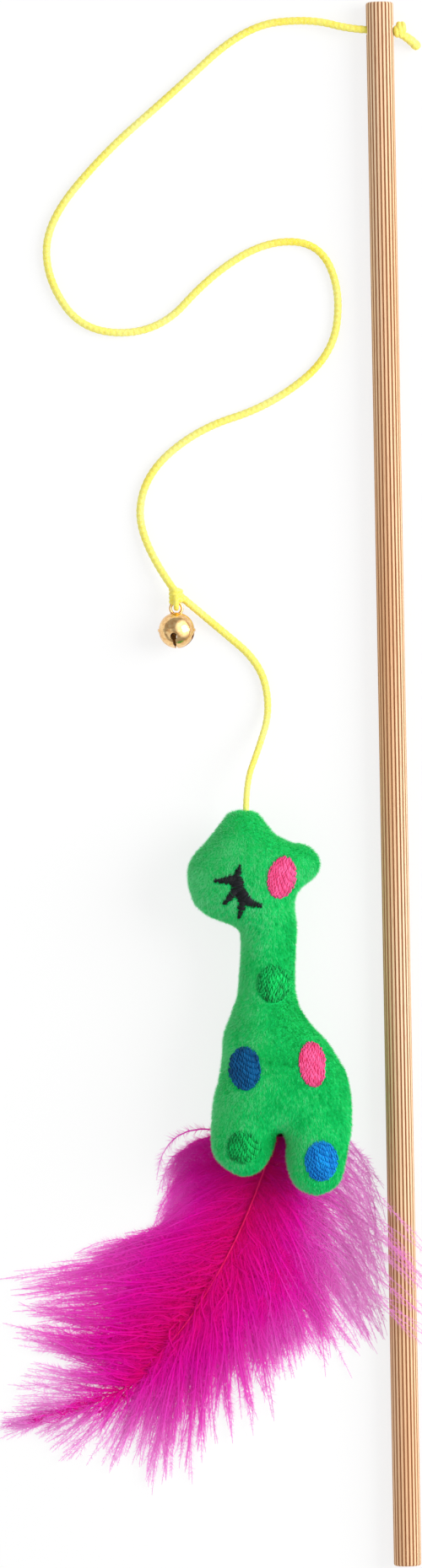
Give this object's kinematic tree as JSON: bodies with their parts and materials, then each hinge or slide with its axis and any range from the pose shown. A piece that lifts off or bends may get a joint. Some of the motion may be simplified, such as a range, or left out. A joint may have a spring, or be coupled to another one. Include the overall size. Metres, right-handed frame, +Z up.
{
  "type": "cat teaser wand",
  "caption": "Cat teaser wand: a fluted wooden rod with a satin cord that carries a jingle bell and a plush giraffe with magenta feathers.",
  "frame": {"origin": "on the table, under the middle of the box round the rod, toy and feathers", "axes": "+Y along the rod towards the cord's end, +Z up from the table, +X from the toy to the rod"},
  "size_m": [0.1132, 0.4, 0.024],
  "materials": {
    "rod_wood": "matte",
    "cord_satin": "satin",
    "bell_brass": "polished",
    "pellet_steel": "satin",
    "plush": "matte",
    "fibre_fill": "matte",
    "sewing_thread": "matte",
    "black_thread": "satin",
    "pink_thread": "satin",
    "dark_green_thread": "satin",
    "dark_blue_thread": "satin",
    "bright_blue_thread": "satin",
    "feather": "matte"
  },
  "bodies": {
    "wand": {"rod": "rod_wood"},
    "line": {"cord_upper": "cord_satin", "stopper_knot": "cord_satin", "bell_hitch": "cord_satin", "cord_lower": "cord_satin", "anchor_knot": "cord_satin"},
    "bell": {"bell_cap": "bell_brass", "bell_cup": "bell_brass", "bell_loop": "bell_brass"},
    "pellet": {"bell_pellet": "pellet_steel"},
    "toy": {"toy_body": "plush", "toy_neck": "plush", "toy_head": "plush", "toy_crown": "plush", "toy_ear": "plush", "toy_front_leg": "plush", "toy_rear_leg": "plush", "stuffing": "fibre_fill", "feather_stitch": "sewing_thread", "eye": "black_thread", "ear_patch": "pink_thread", "neck_spot": "dark_green_thread", "chest_spot": "dark_blue_thread", "flank_spot": "pink_thread", "front_foot_spot": "dark_green_thread", "rear_foot_spot": "bright_blue_thread"},
    "feather": {"main_feather": "feather", "side_feather": "feather", "quill_binding": "sewing_thread"}
  },
  "joints": [
    {"name": "line_lift", "type": "hinge", "parent": "wand", "child": "line", "pos_m": [0.046, 0.193, 0.0035], "axis": [-1, 0, 0], "range_deg": [0, 150]},
    {"name": "bell_swing", "type": "hinge", "parent": "line", "child": "bell", "pos_m": [-0.0052, 0.0459, 0.00485], "axis": [0, 0, 1], "range_deg": [-65, 5]},
    {"name": "pellet_rattle", "type": "slide", "parent": "bell", "child": "pellet", "axis": [0, 0, 1], "range_m": [0, 0.0057]},
    {"name": "toy_spin", "type": "hinge", "parent": "line", "child": "toy", "pos_m": [0.0116, -0.0062, 0.012], "axis": [0, 1, 0], "range_deg": [0, 180]},
    {"name": "feather_wag", "type": "hinge", "parent": "toy", "child": "feather", "pos_m": [0.0186, -0.0877, 0.002], "axis": [0, 0, 1], "range_deg": [-35, 0]}
  ]
}
